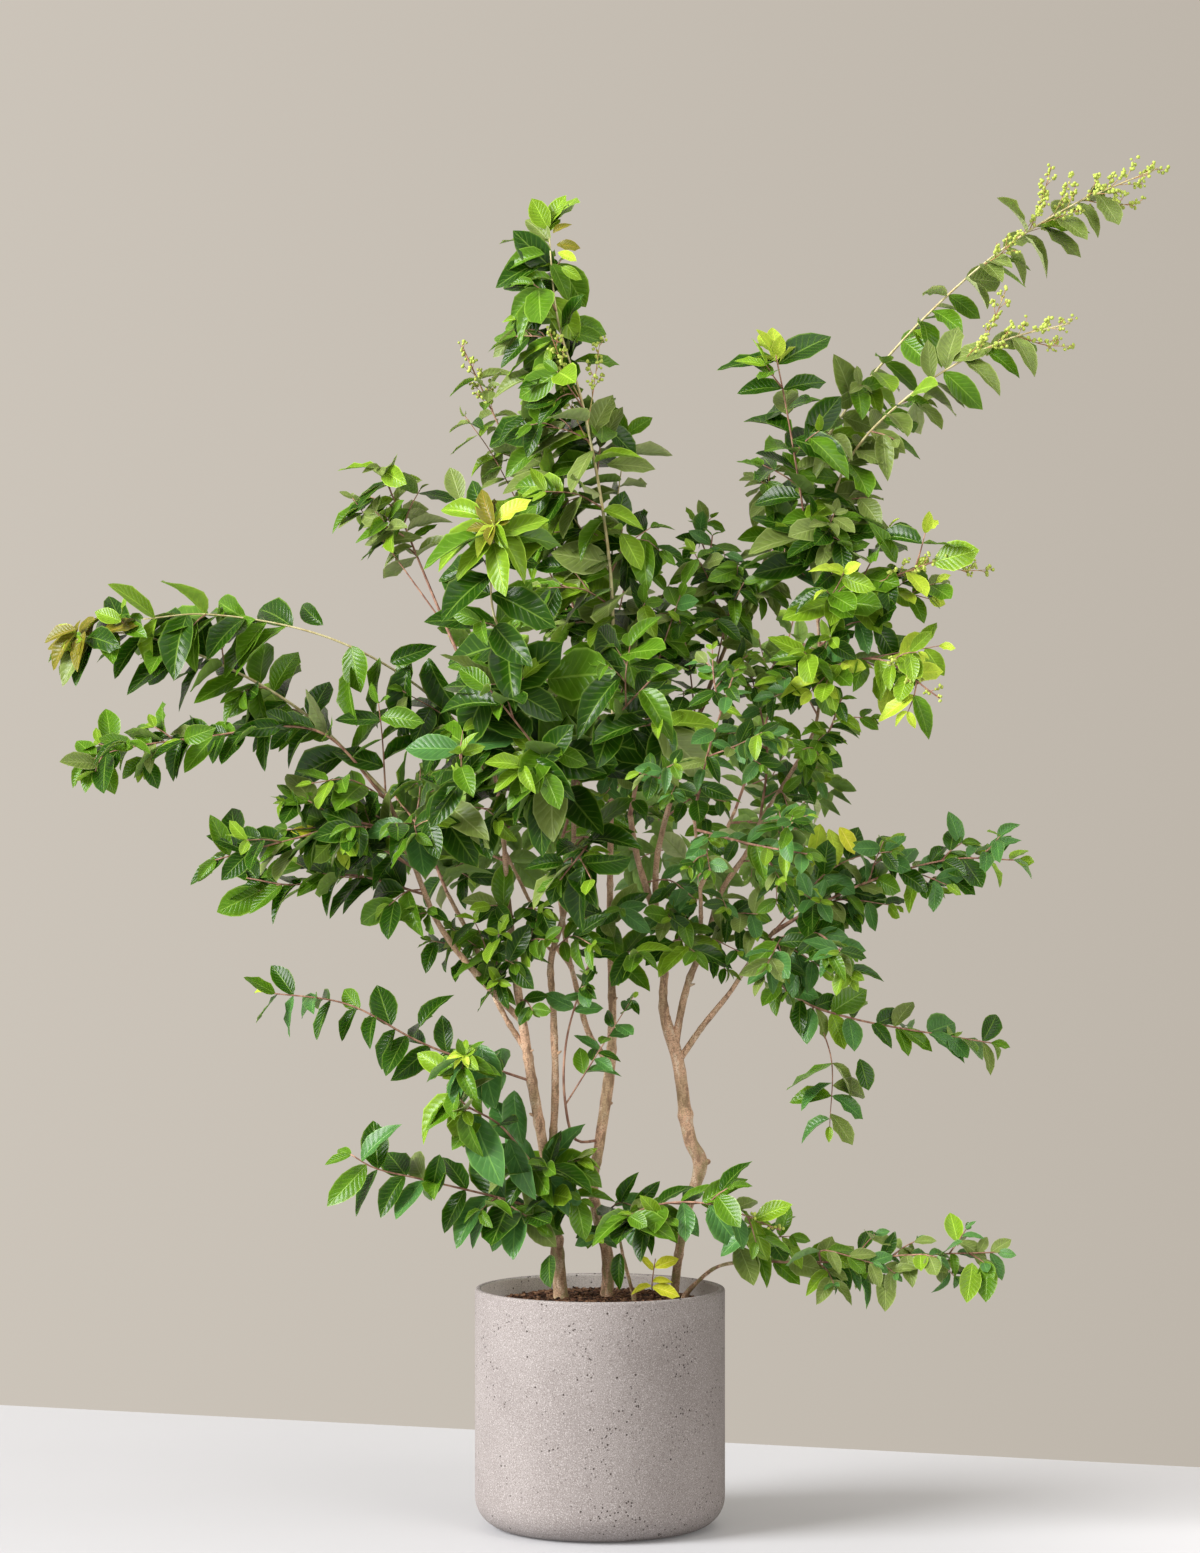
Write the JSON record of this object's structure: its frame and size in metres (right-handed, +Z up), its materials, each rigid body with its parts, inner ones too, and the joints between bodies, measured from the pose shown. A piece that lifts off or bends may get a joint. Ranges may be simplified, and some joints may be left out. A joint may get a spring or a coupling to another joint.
{
  "type": "crape myrtle tree",
  "caption": "Slender multi-stemmed tree with arching leafy sprays and small flower-bud clusters, standing in a straight round pot with a rounded foot.",
  "frame": {"origin": "centre of the pot's flat underside", "axes": "+Z up the plant, +Y to the back and -Y to the side that the fullest sprays face, +X to the right seen from there"},
  "size_m": [1.4358, 0.8198, 1.649],
  "materials": {
    "pot": "matte cast stone with fine pits",
    "soil": "loose bark chips",
    "bark": "smooth peeling bark",
    "leaf": "satin leaf",
    "fresh_leaf": "satin young leaf"
  },
  "bodies": {
    "root": {"pot": "pot", "soil": "soil", "stem_left": "bark", "stem_middle": "bark", "stem_right": "bark", "shoot_low_right": "bark", "shoot_front": "bark", "stem_inner": "bark", "bough_left_low": "bark", "bough_left_mid": "bark", "bough_left_up": "bark", "stem_middle_left": "bark", "bough_back_left": "bark", "bough_right_mid": "bark", "bough_right_low": "bark", "bough_right_top": "bark", "bough_right_up": "bark", "bough_back_right": "bark", "bough_front_right": "bark", "crown_spire": "fresh_leaf", "spray_spire_left": "leaf", "spray_upper_left": "leaf", "rosette_front": "leaf", "tuft_centre_left": "leaf", "tuft_centre_right": "fresh_leaf", "tuft_centre_low": "leaf", "arch_left_upper": "leaf", "arch_left_middle": "leaf", "arch_left_lower": "leaf", "spray_left": "fresh_leaf", "spray_left_low": "leaf", "tuft_left_inner": "leaf", "tuft_left_back": "leaf", "rosette_low_left": "leaf", "spray_low_left": "fresh_leaf", "spray_foot_left": "leaf", "sprig_between_stems": "leaf", "arch_top_right": "leaf", "arch_right": "leaf", "spire_right": "fresh_leaf", "tuft_right_upper": "leaf", "tuft_right_inner": "leaf", "fringe_right": "leaf", "tuft_right_centre": "leaf", "tuft_right_mid": "fresh_leaf", "tuft_middle": "leaf", "spray_right": "leaf", "tuft_right_low": "leaf", "spray_drooping": "leaf", "spray_low_right": "fresh_leaf", "spray_front_low": "leaf", "back_left_high": "leaf", "back_left_low": "leaf", "back_centre_high": "leaf", "back_centre_low": "fresh_leaf", "back_right_high": "leaf", "back_right_low": "leaf", "front_right_high": "leaf", "front_right_low": "leaf"}
  },
  "joints": []
}
